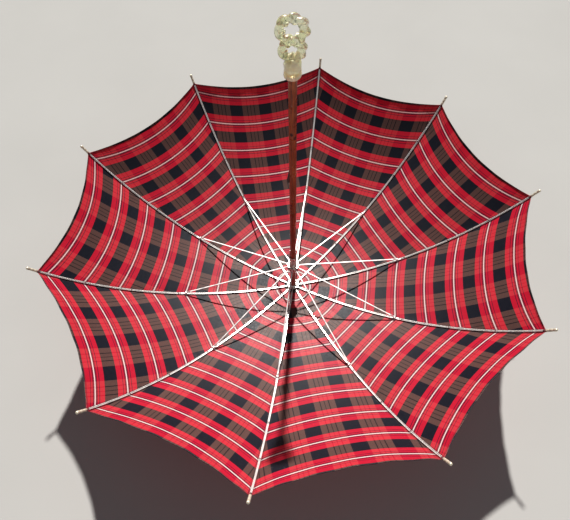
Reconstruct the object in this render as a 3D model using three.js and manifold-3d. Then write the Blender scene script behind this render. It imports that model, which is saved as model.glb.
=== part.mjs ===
// A stick umbrella, open, with its ferrule tip down and its handle up.
// Millimetres. +Z runs up the shaft from the ferrule tip, and rib 01 points along +Y.
import * as THREE from 'three';
import { mergeVertices } from 'three/addons/utils/BufferGeometryUtils.js';
import Module from 'manifold-3d';

const manifold = await Module();
manifold.setup();

// ---- driving dimensions ----
const RIB_COUNT = 10;
const RIB_STEP = (2 * Math.PI) / RIB_COUNT;
const CROWN_Z = 72; // the ribs' pivots, above the ferrule tip
const PIVOT_RADIUS = 11; // the pivot circle of the crown and of the runner

// each rib is an arc from its crown pivot to its tip
const TIP_RADIUS = 512.8;
const TIP_RISE = 223.28;
const RIB_START_SLOPE = THREE.MathUtils.degToRad(-1);
const RIB_WIDTH = 3.0;
const RIB_HEIGHT = 2.4;
const EYE_WIDTH = 1.6;
const EYE_RADIUS = 1.8;
const TONGUE_LENGTH = 7.4; // from a pivot to where the full section starts
const FLEX_PLACE = 0.4831; // where a rib bends as the umbrella closes, as a share of its length
const FLEX_GAP = 0.4;
const TIP_CAP_LENGTH = 22;
const TIP_CAP_RADIUS = 2.5;
const TIP_CAP_BEAD = 0.4; // the rounded rim at the cap's end stands out by this

// stretchers hang on a small lug under each rib
const JOINT_PLACE = 0.4116; // as a share of the rib's length
const LUG_DEPTH = 4.0;
const LUG_RADIUS = 1.6;
const LUG_FOOT_HALF = 4;
const LUG_TOP_HALF = 1.4;
const STRETCHER_WIDTH = 3.6;
const STRETCHER_HEIGHT = 2.0;
const FORK_WALL = 0.7;
const FORK_RADIUS = 2.0;
const FORK_START = 2.6;

// canopy
const GORE_THICKNESS = 1.0;
const GORE_CLEARANCE = 0.8; // between a rib's outer face and the cloth
const SEAM_GAP = 0.4;
const GORE_INNER_RADIUS = 14.5;
const GORE_END_PLACE = 0.96;
const HEM_SCALLOP = 0.043; // how far the hem's middle is drawn in, as a share of a rib's length

// shaft, from the crown to the handle
const SHAFT_RADIUS_LOW = 5.9;
const SHAFT_RADIUS_MID = 6.2;
const SHAFT_RADIUS_HIGH = 6.4;
const SHAFT_RADIUS_TOP = 6.8;
const SHAFT_TOP = CROWN_Z + 585;
const TENON_RADIUS = 3.4;
const TENON_BOTTOM = 26;
const SHAFT_SHOULDER = 50;

// runner and crown ring
const HUB_RADIUS = 8.6;
const RING_RADIUS = 13;
const SLOT_WIDTH = 2.4;
const NOTCH_HALF_HEIGHT = 5;
const RUNNER_BORE = 6.8;
const RUNNER_TUBE_RADIUS = 7.6;
const RUNNER_COLLAR_RADIUS = 8.2;
const RUNNER_RING_HALF = 5.5;
const RUNNER_BELOW = 16;
const RUNNER_ABOVE = 37;

// canopy cap, rosette and ferrule, by height above the ferrule tip
const CAP_BOTTOM = 52.6;
const CAP_BOTTOM_RADIUS = 9.5;
const CAP_FLARE_Z = 58.5;
const CAP_FLARE_RADIUS = 15.5;
const CAP_RIM_Z = 64;
const CAP_RIM_RADIUS = 17.5;
const CAP_WALL = 1.2;
const ROSETTE_BOTTOM = 65.2;
const ROSETTE_TOP = 66.4;
const ROSETTE_RADIUS = 24;
const FERRULE_TIP_RADIUS = 3.4;
const FERRULE_FOOT_RADIUS = 4.2;
const FERRULE_FOOT_TOP = 9;
const FERRULE_LOW_RADIUS = 4.9;
const FERRULE_HIGH_RADIUS = 5.6;
const FERRULE_COLLAR_RADIUS = 6.6;
const FERRULE_COLLAR_BOTTOM = 42;
const FERRULE_COLLAR_TOP = 45;

// spring catches in the shaft, seen on its left side
const CATCH_AZIMUTH = THREE.MathUtils.degToRad(189);
const CATCH_THICKNESS = 1.4;
const CATCH_SLOT_WIDTH = 2.2;
const CATCH_INNER_RADIUS = 2.6;
const TOP_CATCH_Z = CROWN_Z + 119.5;
const TOP_CATCH_LENGTH = 23;
const TOP_CATCH_RADIUS = 9.6;
const BOTTOM_CATCH_Z = CROWN_Z + 359;
const BOTTOM_CATCH_LENGTH = 32;
const BOTTOM_CATCH_RADIUS = 10.6;

// handle: a knob with two rope loops, one above the other
const HANDLE_TURN = THREE.MathUtils.degToRad(9);
const HANDLE_BASE = SHAFT_TOP + 0.4;
const KNOB_RADIUS = 13;
const KNOB_HEIGHT = 34;
const KNOB_FOOT_RADIUS = 9.5;
const KNOB_NECK_RADIUS = 7;
const LOOP_SIDES = 12;
const LOOP_STEPS = 28;
const LOWER_LOOP = { height: CROWN_Z + 638, halfWidth: 14, halfHeight: 13, rope: 7.2 };
const UPPER_LOOP = { height: CROWN_Z + 669, halfWidth: 17, halfHeight: 16.5, rope: 7.4 };

const SMALL_GAP = 0.3;
const ROUND = 32;

// ---- geometry helpers ----
// a closed three.js geometry as a solid that can be joined and cut
function solidOf(geometry) {
  const bare = geometry.clone();
  bare.deleteAttribute('normal');
  bare.deleteAttribute('uv');
  const merged = mergeVertices(bare, 1e-4);
  return new manifold.Manifold(new manifold.Mesh({
    numProp: 3,
    vertProperties: new Float32Array(merged.attributes.position.array),
    triVerts: new Uint32Array(merged.index.array),
  }));
}

function geometryOf(solid) {
  const mesh = solid.getMesh();
  const geometry = new THREE.BufferGeometry();
  const points = new Float32Array(mesh.vertProperties);
  geometry.setAttribute('position', new THREE.BufferAttribute(points, 3));
  geometry.setIndex(new THREE.BufferAttribute(new Uint32Array(mesh.triVerts), 1));
  geometry.computeVertexNormals();
  return geometry;
}

const joined = (first, ...rest) => rest.reduce((all, next) => all.add(next), first);
const cutBy = (first, ...rest) => rest.reduce((all, next) => all.subtract(next), first);

// an outline in the radius-height plane, given width across that plane
function plate(outline, width) {
  const shape = new THREE.Shape(outline.map(([r, z]) => new THREE.Vector2(r, z)));
  const geometry = new THREE.ExtrudeGeometry(shape, { depth: width, bevelEnabled: false });
  return geometry.translate(0, 0, -width / 2).rotateX(Math.PI / 2);
}

// an outline in the radius-height plane turned round the Z axis; the outline runs anticlockwise
function turned(outline, segments = ROUND) {
  const points = outline.map(([r, z]) => new THREE.Vector2(r, z));
  return new THREE.LatheGeometry(points, segments).rotateX(Math.PI / 2);
}

function disc([r, z], radius, width, sides = 12) {
  const outline = Array.from({ length: sides }, (_, i) => {
    const angle = (2 * Math.PI * i) / sides;
    return [r + radius * Math.cos(angle), z + radius * Math.sin(angle)];
  });
  return plate(outline, width);
}

// a straight bar in the radius-height plane between two points
function bar([r0, z0], [r1, z1], height, width) {
  const length = Math.hypot(r1 - r0, z1 - z0);
  const [nr, nz] = [(-(z1 - z0) / length) * height / 2, ((r1 - r0) / length) * height / 2];
  return plate([[r0 - nr, z0 - nz], [r1 - nr, z1 - nz], [r1 + nr, z1 + nz], [r0 + nr, z0 + nz]], width);
}

const between = (from, to, share) => from.map((value, i) => value + (to[i] - value) * share);

// ---- the rib's arc and the linkage ----
const chordSlope = Math.atan2(TIP_RISE, TIP_RADIUS - PIVOT_RADIUS);
const ribTurn = 2 * (chordSlope - RIB_START_SLOPE);
const ribRadius = Math.hypot(TIP_RISE, TIP_RADIUS - PIVOT_RADIUS) / (2 * Math.sin(ribTurn / 2));
const ribLength = ribRadius * ribTurn;
const arcCentre = [
  PIVOT_RADIUS - ribRadius * Math.sin(RIB_START_SLOPE),
  CROWN_Z + ribRadius * Math.cos(RIB_START_SLOPE),
];

// a point of the rib at a share of its length, moved inside the canopy by depth
function ribPoint(share, depth = 0) {
  const slope = RIB_START_SLOPE + ribTurn * share;
  const radius = ribRadius - depth;
  return [arcCentre[0] + radius * Math.sin(slope), arcCentre[1] - radius * Math.cos(slope)];
}

const crownPivot = [PIVOT_RADIUS, CROWN_Z];
const jointPivot = ribPoint(JOINT_PLACE, LUG_DEPTH);
const runnerPivot = [PIVOT_RADIUS, 2 * jointPivot[1] - CROWN_Z];
const stretcherLength = Math.hypot(jointPivot[0] - runnerPivot[0], jointPivot[1] - runnerPivot[1]);

// ---- repeated pieces, drawn in the plane of +X and turned to their places ----
function ribStrip(from, to, steps, width) {
  const shares = Array.from({ length: steps + 1 }, (_, i) => from + ((to - from) * i) / steps);
  const outer = shares.map((share) => ribPoint(share, -RIB_HEIGHT / 2));
  const inner = shares.map((share) => ribPoint(share, RIB_HEIGHT / 2)).reverse();
  return solidOf(plate([...outer, ...inner], width));
}

function innerRib() {
  const nearJoint = (offset, depth) => ribPoint(JOINT_PLACE + offset / ribLength, depth);
  const lugFoot = [nearJoint(-LUG_FOOT_HALF), nearJoint(LUG_FOOT_HALF)];
  const lugTop = [nearJoint(LUG_TOP_HALF, LUG_DEPTH), nearJoint(-LUG_TOP_HALF, LUG_DEPTH)];
  return geometryOf(joined(
    ribStrip(TONGUE_LENGTH / ribLength, FLEX_PLACE - FLEX_GAP / ribLength, 9, RIB_WIDTH),
    solidOf(bar(crownPivot, ribPoint((TONGUE_LENGTH + 2) / ribLength), RIB_HEIGHT - 0.2, EYE_WIDTH)),
    solidOf(disc(crownPivot, EYE_RADIUS, EYE_WIDTH)),
    solidOf(plate([...lugFoot, ...lugTop], EYE_WIDTH)),
    solidOf(disc(jointPivot, LUG_RADIUS, EYE_WIDTH)),
  ));
}

function outerRib() {
  const end = 1 - (TIP_CAP_LENGTH + SMALL_GAP) / ribLength;
  return geometryOf(ribStrip(FLEX_PLACE + FLEX_GAP / ribLength, end, 9, RIB_WIDTH));
}

// a small metal cap, drawn up the Z axis and then laid along the rib's end
function tipCap() {
  const bead = TIP_CAP_RADIUS + TIP_CAP_BEAD;
  const outline = [
    [0, 0], [TIP_CAP_RADIUS, 0], [TIP_CAP_RADIUS, TIP_CAP_LENGTH - 5], [bead, TIP_CAP_LENGTH - 3.6],
    [bead, TIP_CAP_LENGTH - 1.2], [TIP_CAP_RADIUS - 1, TIP_CAP_LENGTH], [0, TIP_CAP_LENGTH],
  ];
  const start = ribPoint(1 - TIP_CAP_LENGTH / ribLength);
  const end = ribPoint(1);
  const slope = Math.atan2(end[1] - start[1], end[0] - start[0]);
  const cap = turned(outline, 10);
  return cap.rotateY(Math.PI / 2 - slope).translate(start[0], 0, start[1]);
}

function stretcher() {
  const along = (distance) => between(runnerPivot, jointPivot, distance / stretcherLength);
  const shankEnd = stretcherLength - FORK_START;
  const cheek = solidOf(bar(along(shankEnd - 3), jointPivot, STRETCHER_HEIGHT, FORK_WALL))
    .add(solidOf(disc(jointPivot, FORK_RADIUS, FORK_WALL)));
  const aside = (STRETCHER_WIDTH - FORK_WALL) / 2;
  return geometryOf(joined(
    solidOf(bar(along(TONGUE_LENGTH), along(shankEnd), STRETCHER_HEIGHT, STRETCHER_WIDTH)),
    solidOf(bar(runnerPivot, along(TONGUE_LENGTH + 2), STRETCHER_HEIGHT - 0.2, EYE_WIDTH)),
    solidOf(disc(runnerPivot, EYE_RADIUS, EYE_WIDTH)),
    cheek.translate([0, aside, 0]),
    cheek.translate([0, -aside, 0]),
  ));
}

// one panel of cloth between two ribs: straight from rib to rib, curved along them.
// A box is bent: x goes from rib to rib, y from the crown to the hem, z through the cloth.
function gore() {
  const [across, along] = [4, 14];
  const box = new THREE.BoxGeometry(1, 1, 1, across, along, 1);
  const position = box.attributes.position;
  const start = (GORE_INNER_RADIUS - PIVOT_RADIUS) / ribLength;
  const half = RIB_STEP / 2;
  for (let i = 0; i < position.count; i += 1) {
    const side = 2 * position.getX(i);
    const end = GORE_END_PLACE - HEM_SCALLOP * (1 - side * side);
    const share = start + (end - start) * (position.getY(i) + 0.5);
    const depth = -(RIB_HEIGHT / 2 + GORE_CLEARANCE + GORE_THICKNESS * (position.getZ(i) + 0.5));
    const [radius, height] = ribPoint(share, depth);
    const edge = radius * Math.sin(half) - SEAM_GAP / 2 / Math.cos(half);
    position.setXYZ(i, radius * Math.cos(half), side * edge, height);
  }
  return box;
}

// ---- pieces on the shaft ----
function slotCutter(low, length) {
  const cutter = new THREE.BoxGeometry(20, CATCH_SLOT_WIDTH, length + 1.2);
  cutter.translate(CATCH_INNER_RADIUS - 0.4 + 10, 0, low + length / 2);
  return solidOf(cutter.rotateZ(CATCH_AZIMUTH));
}

function shaft() {
  const outline = [
    [0, TENON_BOTTOM], [TENON_RADIUS, TENON_BOTTOM], [TENON_RADIUS, SHAFT_SHOULDER],
    [SHAFT_RADIUS_LOW, SHAFT_SHOULDER], [SHAFT_RADIUS_LOW, CROWN_Z + 40],
    [SHAFT_RADIUS_MID, CROWN_Z + 180], [SHAFT_RADIUS_HIGH, CROWN_Z + 505],
    [SHAFT_RADIUS_TOP, SHAFT_TOP - 50], [SHAFT_RADIUS_TOP, SHAFT_TOP], [0, SHAFT_TOP],
  ];
  return geometryOf(cutBy(
    solidOf(turned(outline)),
    slotCutter(TOP_CATCH_Z, TOP_CATCH_LENGTH),
    slotCutter(BOTTOM_CATCH_Z, BOTTOM_CATCH_LENGTH),
  ));
}

// a flat lever in its slot: steep towards the crown, sloping back into the shaft towards the handle
function springCatch(low, length, reach) {
  const root = CATCH_INNER_RADIUS;
  return plate([
    [root, low], [reach - 1.2, low], [reach, low + 1.5], [reach, low + length * 0.3],
    [SHAFT_RADIUS_MID + 0.4, low + length], [root, low + length],
  ], CATCH_THICKNESS);
}

function slottedRing(outline) {
  const slots = Array.from({ length: RIB_COUNT }, (_, i) => {
    const slot = new THREE.BoxGeometry(20, SLOT_WIDTH, 12);
    slot.translate(HUB_RADIUS + 10, 0, 0).rotateZ(Math.PI / 2 - i * RIB_STEP);
    return solidOf(slot);
  });
  return cutBy(solidOf(turned(outline, 40)), ...slots);
}

function crownRing() {
  const bore = SHAFT_RADIUS_LOW + SMALL_GAP;
  const ring = slottedRing([
    [bore, -NOTCH_HALF_HEIGHT], [RING_RADIUS, -NOTCH_HALF_HEIGHT],
    [RING_RADIUS, NOTCH_HALF_HEIGHT], [bore, NOTCH_HALF_HEIGHT], [bore, -NOTCH_HALF_HEIGHT],
  ]);
  return geometryOf(ring).translate(0, 0, CROWN_Z);
}

function runner() {
  const tube = slottedRing([
    [RUNNER_BORE, -RUNNER_BELOW], [RUNNER_COLLAR_RADIUS, -RUNNER_BELOW],
    [RUNNER_COLLAR_RADIUS, -RUNNER_RING_HALF], [RING_RADIUS, -RUNNER_RING_HALF],
    [RING_RADIUS, RUNNER_RING_HALF], [RUNNER_TUBE_RADIUS, RUNNER_RING_HALF],
    [RUNNER_TUBE_RADIUS, RUNNER_ABOVE], [RUNNER_BORE, RUNNER_ABOVE], [RUNNER_BORE, -RUNNER_BELOW],
  ]);
  return geometryOf(tube).translate(0, 0, runnerPivot[1]);
}

// the cloth washer between the canopy and the crown ring
function rosette() {
  const bore = SHAFT_RADIUS_LOW + SMALL_GAP;
  return turned([
    [bore, ROSETTE_BOTTOM], [ROSETTE_RADIUS, ROSETTE_BOTTOM], [ROSETTE_RADIUS, ROSETTE_TOP],
    [bore, ROSETTE_TOP], [bore, ROSETTE_BOTTOM],
  ]);
}

// the cup under the canopy's centre, round the shaft
function canopyCap() {
  const bore = SHAFT_RADIUS_LOW + SMALL_GAP;
  return turned([
    [bore, CAP_BOTTOM], [CAP_BOTTOM_RADIUS, CAP_BOTTOM], [CAP_FLARE_RADIUS, CAP_FLARE_Z],
    [CAP_RIM_RADIUS, CAP_RIM_Z], [CAP_RIM_RADIUS - CAP_WALL, CAP_RIM_Z],
    [CAP_FLARE_RADIUS - CAP_WALL, CAP_FLARE_Z + CAP_WALL], [bore, CAP_FLARE_Z + CAP_WALL],
    [bore, CAP_BOTTOM],
  ]);
}

function ferrule() {
  const bore = TENON_RADIUS + SMALL_GAP;
  const top = SHAFT_SHOULDER - SMALL_GAP;
  return turned([
    [0, 0], [FERRULE_TIP_RADIUS, 0], [FERRULE_FOOT_RADIUS, 1.2],
    [FERRULE_FOOT_RADIUS, FERRULE_FOOT_TOP], [FERRULE_LOW_RADIUS, FERRULE_FOOT_TOP + 1.5],
    [FERRULE_HIGH_RADIUS, FERRULE_COLLAR_BOTTOM - 4], [FERRULE_COLLAR_RADIUS, FERRULE_COLLAR_BOTTOM],
    [FERRULE_COLLAR_RADIUS, FERRULE_COLLAR_TOP], [SHAFT_RADIUS_LOW, FERRULE_COLLAR_TOP + 1.5],
    [SHAFT_RADIUS_LOW, top], [bore, top], [bore, TENON_BOTTOM - SMALL_GAP],
    [0, TENON_BOTTOM - SMALL_GAP],
  ]);
}

function loop({ height, halfWidth, halfHeight, rope }) {
  const section = Array.from({ length: LOOP_SIDES + 1 }, (_, i) => {
    const angle = (2 * Math.PI * (i % LOOP_SIDES)) / LOOP_SIDES;
    return new THREE.Vector2(halfWidth + rope * Math.cos(angle), rope * Math.sin(angle));
  });
  const ring = new THREE.LatheGeometry(section, LOOP_STEPS);
  ring.rotateX(Math.PI); // it turns about Y, so its hole faces along Y
  return ring.scale(1, 1, (halfHeight + rope) / (halfWidth + rope)).translate(0, 0, height);
}

function handle() {
  const knob = turned([
    [0, HANDLE_BASE], [KNOB_FOOT_RADIUS, HANDLE_BASE], [KNOB_RADIUS - 1, HANDLE_BASE + 2.5],
    [KNOB_RADIUS, HANDLE_BASE + 8], [KNOB_RADIUS, HANDLE_BASE + 20],
    [KNOB_RADIUS - 2, HANDLE_BASE + 28], [KNOB_NECK_RADIUS, HANDLE_BASE + KNOB_HEIGHT],
    [0, HANDLE_BASE + KNOB_HEIGHT + 2],
  ], 24);
  return geometryOf(joined(solidOf(knob), solidOf(loop(LOWER_LOOP)), solidOf(loop(UPPER_LOOP))));
}

// ---- materials ----
const finish = (color, roughness, metalness) => () => (
  new THREE.MeshStandardMaterial({ color, roughness, metalness })
);
const lacqueredWood = finish(0x7a2e12, 0.3, 0);
const clearAcrylic = finish(0xe9e6b4, 0.1, 0);
const brightSteel = finish(0xd8d9d8, 0.3, 1);
const nickel = finish(0xb9b6ae, 0.28, 1);
const blackSteel = finish(0x15130f, 0.4, 0.8);
const tarnishedBrass = finish(0xa89878, 0.45, 0.9);
const tartanCloth = finish(0xb8202c, 0.85, 0);
const blackCloth = finish(0x17151a, 0.9, 0);

// ---- the assembly ----
const umbrella = new THREE.Group();

function place(name, geometry, material, turn = 0) {
  const mesh = new THREE.Mesh(geometry, material());
  mesh.name = name;
  mesh.rotation.z = turn;
  umbrella.add(mesh);
}

place('shaft', shaft(), lacqueredWood);
place('handle', handle(), clearAcrylic, HANDLE_TURN);
place('ferrule', ferrule(), nickel);
place('canopy_cap', canopyCap(), nickel);
place('inner_rosette', rosette(), blackCloth);
place('crown_ring', crownRing(), nickel);
place('runner', runner(), nickel);
const topCatch = springCatch(TOP_CATCH_Z, TOP_CATCH_LENGTH, TOP_CATCH_RADIUS);
const bottomCatch = springCatch(BOTTOM_CATCH_Z, BOTTOM_CATCH_LENGTH, BOTTOM_CATCH_RADIUS);
place('top_catch', topCatch, brightSteel, CATCH_AZIMUTH);
place('bottom_catch', bottomCatch, blackSteel, CATCH_AZIMUTH);

for (let i = 0; i < RIB_COUNT; i += 1) {
  const number = String(i + 1).padStart(2, '0');
  const azimuth = Math.PI / 2 - i * RIB_STEP;
  place(`rib_inner_${number}`, innerRib(), brightSteel, azimuth);
  place(`rib_outer_${number}`, outerRib(), brightSteel, azimuth);
  place(`rib_tip_${number}`, tipCap(), tarnishedBrass, azimuth);
  place(`stretcher_${number}`, stretcher(), brightSteel, azimuth);
  place(`gore_${number}`, gore(), tartanCloth, azimuth - RIB_STEP / 2);
}

export default umbrella;
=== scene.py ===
"""The looks of a stick umbrella, open and handle up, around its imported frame.

Blender works in metres. The sizes below are in millimetres, with +Z up the shaft and rib 01 along +Y.
"""
import math

import bmesh
import bpy
import numpy as np
from mathutils import Matrix, Vector, noise


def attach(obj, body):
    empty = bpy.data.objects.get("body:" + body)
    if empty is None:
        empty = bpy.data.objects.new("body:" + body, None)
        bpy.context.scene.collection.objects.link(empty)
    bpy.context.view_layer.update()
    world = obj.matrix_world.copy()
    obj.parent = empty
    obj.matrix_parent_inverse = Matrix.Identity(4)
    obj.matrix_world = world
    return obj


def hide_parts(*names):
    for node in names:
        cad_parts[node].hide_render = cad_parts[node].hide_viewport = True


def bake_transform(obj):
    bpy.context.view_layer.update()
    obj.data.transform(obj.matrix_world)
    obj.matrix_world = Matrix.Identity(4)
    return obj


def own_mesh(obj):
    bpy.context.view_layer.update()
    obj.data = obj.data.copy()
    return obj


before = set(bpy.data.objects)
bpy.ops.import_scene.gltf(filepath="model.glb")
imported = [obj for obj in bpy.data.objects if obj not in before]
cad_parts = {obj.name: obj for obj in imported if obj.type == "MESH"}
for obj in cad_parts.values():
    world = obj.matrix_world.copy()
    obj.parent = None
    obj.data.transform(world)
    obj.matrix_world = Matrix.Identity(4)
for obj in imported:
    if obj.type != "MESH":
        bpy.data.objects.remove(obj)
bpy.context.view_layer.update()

MM = 0.001

# ---- driving dimensions, in millimetres ----
RIBS = 10
STEP = 2 * math.pi / RIBS
HALF = STEP / 2                   # from a rib to the middle of its gore
CROWN_Z = 72.0                    # the ribs' pivots, above the ferrule's tip
PIVOT_R = 11.0                    # radius of the wires that ribs and stretchers hang on
TIP_R, TIP_RISE = 512.8, 223.28   # a rib's end, from the axis and above its pivot
START_SLOPE = math.radians(-1)
FLEX = 0.4831                     # where a rib bends as the umbrella closes, as a share of its length
JOINT, LUG_DEPTH = 0.4116, 4.0    # where its stretcher is riveted on, and how far inside the rib
GORE_START_R = 14.5
GORE_END = 0.960                  # a corner of the cloth, as a share of a rib's length
SCALLOP = 0.043                   # how far the hem's middle is drawn in, in the same share
CLOTH_DEPTH = -2.0                # the cloth lies outside the ribs' middle line
CAP_LENGTH = 22.0                 # the cap on a rib's end
SHAFT_TOP = CROWN_Z + 585

# a rib is an arc from its pivot to its end
chord = math.atan2(TIP_RISE, TIP_R - PIVOT_R)
TURN = 2 * (chord - START_SLOPE)
ARC_R = math.hypot(TIP_RISE, TIP_R - PIVOT_R) / (2 * math.sin(TURN / 2))
RIB_LEN = ARC_R * TURN
ARC_C = (PIVOT_R - ARC_R * math.sin(START_SLOPE), CROWN_Z + ARC_R * math.cos(START_SLOPE))


def slope_at(share):
    return START_SLOPE + TURN * share


def rib_point(share, depth=0.0):
    """(radius, height) of a rib at a share of its length, moved to the inside by depth."""
    a, r = slope_at(share), ARC_R - depth
    return ARC_C[0] + r * math.sin(a), ARC_C[1] - r * math.cos(a)


JOINT_P = rib_point(JOINT, LUG_DEPTH)
RUNNER_Z = 2 * JOINT_P[1] - CROWN_Z  # its wire is as far above the joints as the crown's is below them


def azimuth(i):
    """Azimuth of rib i, counted from 0."""
    return math.pi / 2 - i * STEP


def turned(i):
    """Turns what is built for a rib along +X to rib i."""
    return Matrix.Rotation(azimuth(i), 4, "Z")


def label(i):
    return f"{i + 1:02d}"


# ---- camera: from above and in front, a little to the right ----
ELEVATION, AZIMUTH, ROLL = math.radians(57.22), math.radians(9.12), math.radians(-1.3646)
DISTANCE, SIDE, RISE = 1.3374, -0.01854, 0.05709  # metres from the crown: back, to the right, up
SENSOR, LENS = 36.0, 36.99


def make_camera():
    data = bpy.data.cameras.new("camera")
    data.sensor_width, data.lens = SENSOR, LENS
    camera = bpy.data.objects.new("camera", data)
    bpy.context.scene.collection.objects.link(camera)
    level = math.cos(ELEVATION)
    back = Vector((math.sin(AZIMUTH) * level, -math.cos(AZIMUTH) * level, math.sin(ELEVATION)))
    right = Vector((0, 0, 1)).cross(back).normalized()
    up = back.cross(right)
    c, s = math.cos(ROLL), math.sin(ROLL)
    right, up = c * right + s * up, c * up - s * right
    place = Vector((0, 0, CROWN_Z * MM)) + back * DISTANCE + right * SIDE + up * RISE
    camera.matrix_world = Matrix((
        (right.x, up.x, back.x, place.x),
        (right.y, up.y, back.y, place.y),
        (right.z, up.z, back.z, place.z),
        (0, 0, 0, 1),
    ))
    data.clip_start, data.clip_end = 0.01, 50
    bpy.context.scene.camera = camera


make_camera()


# ---- node material helpers ----
class Nodes:
    """Builds one material's node tree."""

    def __init__(self, name):
        self.material = bpy.data.materials.new(name)
        self.material.use_nodes = True
        self.tree = self.material.node_tree
        self.tree.nodes.clear()
        self.out = self.add("ShaderNodeOutputMaterial")

    def add(self, kind, **settings):
        node = self.tree.nodes.new(kind)
        for key, value in settings.items():
            setattr(node, key, value)
        return node

    def link(self, a, b):
        self.tree.links.new(a, b)

    def put(self, socket, value):
        if isinstance(value, bpy.types.NodeSocket):
            self.link(value, socket)
        else:
            socket.default_value = value

    @staticmethod
    def rgba(colour):
        """A grey or a colour as four numbers. A socket stays as it is."""
        if isinstance(colour, (int, float)):
            return (colour, colour, colour, 1)
        if isinstance(colour, tuple):
            return (*colour, 1)
        return colour

    def math(self, operation, a, b=None, c=None, clamp=False):
        node = self.add("ShaderNodeMath", operation=operation, use_clamp=clamp)
        for socket, value in zip(node.inputs, (a, b, c)):
            if value is not None:
                self.put(socket, value)
        return node.outputs[0]

    def mix(self, factor, a, b, blend="MIX"):
        node = self.add("ShaderNodeMix", data_type="RGBA", blend_type=blend)
        self.put(node.inputs[0], factor)
        self.put(node.inputs[6], self.rgba(a))
        self.put(node.inputs[7], self.rgba(b))
        return node.outputs[2]

    def attribute(self, name):
        return self.add("ShaderNodeAttribute", attribute_name=name).outputs["Fac"]

    def position(self):
        return self.add("ShaderNodeTexCoord").outputs["Object"]

    def scaled(self, vector, scale):
        node = self.add("ShaderNodeMapping")
        self.link(vector, node.inputs["Vector"])
        node.inputs["Scale"].default_value = scale
        return node.outputs[0]

    def noise(self, vector, scale, detail=3.0, rough=0.55, distortion=0.0):
        node = self.add("ShaderNodeTexNoise")
        self.link(vector, node.inputs["Vector"])
        node.inputs["Scale"].default_value = scale
        node.inputs["Detail"].default_value = detail
        node.inputs["Roughness"].default_value = rough
        node.inputs["Distortion"].default_value = distortion
        return node.outputs["Fac"]

    def ramp(self, factor, stops, mode="LINEAR"):
        node = self.add("ShaderNodeValToRGB")
        node.color_ramp.interpolation = mode
        elements = node.color_ramp.elements
        while len(elements) > 1:
            elements.remove(elements[-1])
        elements[0].position = stops[0][0]
        elements[0].color = self.rgba(stops[0][1])
        for at, colour in stops[1:]:
            elements.new(at).color = self.rgba(colour)
        self.link(factor, node.inputs[0])
        return node.outputs[0]

    def range(self, value, low, high, to_low, to_high):
        node = self.add("ShaderNodeMapRange")
        self.link(value, node.inputs[0])
        for k, v in zip((1, 2, 3, 4), (low, high, to_low, to_high)):
            node.inputs[k].default_value = v
        return node.outputs[0]

    def bump(self, height, distance, strength=1.0):
        node = self.add("ShaderNodeBump")
        node.inputs["Strength"].default_value = strength
        node.inputs["Distance"].default_value = distance
        self.link(height, node.inputs["Height"])
        return node.outputs[0]

    def principled(self, **sockets):
        node = self.add("ShaderNodeBsdfPrincipled")
        for key, value in sockets.items():
            self.put(node.inputs[key.replace("_", " ")], value)
        return node

    def done(self, shader):
        self.link(shader, self.out.inputs[0])
        return self.material


# ---- materials ----
WEFT_PERIOD, WARP_PERIOD = 64.0, 70.0  # one repeat of the tartan, from the crown outwards and across
FAR = 40                               # whole repeats added, so that every place is above zero
EDGE_WANDER = 0.35
TWILL_PITCH = 1.6
LINE_HALF, RED_HALF = 1.25, 19.2       # of the white line and of the red band round it
SEAM_DOUBLE, HEM_DOUBLE = 5.5, 5.0     # the doubled cloth along a seam and along the hem
SEAM_STITCHES, HEM_STITCHES = 4.2, 3.8
STITCH_HALF, STITCH_PITCH, STITCH_GAP = 0.35, 2.6, 0.35
RED, BLACK, WHITE = (0.76, 0.008, 0.048), (0.006, 0.007, 0.012), (1.0, 0.81, 0.80)
DEEP_RED = (0.10, 0.002, 0.035)
TAN, NAVY, TAN_LINE = (0.38, 0.19, 0.16), (0.012, 0.016, 0.042), (0.035, 0.020, 0.024)
# the painted shade laid over the doubled cloth, and the colour of the stitches
DOUBLED_CLOTH_PAINTED_SHADE, STITCH_COLOUR = (0.02, 0.012, 0.014), (0.03, 0.012, 0.016)
THROUGH_DARK, THROUGH_RED = (0.06, 0.05, 0.06), (1.0, 0.30, 0.32)


def stripes(m, value, period, bands):
    """Bands are (start, colour) in millimetres from a repeat's start, in order."""
    share = m.math("FRACT", m.math("DIVIDE", value, period))
    return m.ramp(share, [(a / period, c) for a, c in bands], "CONSTANT")


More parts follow.
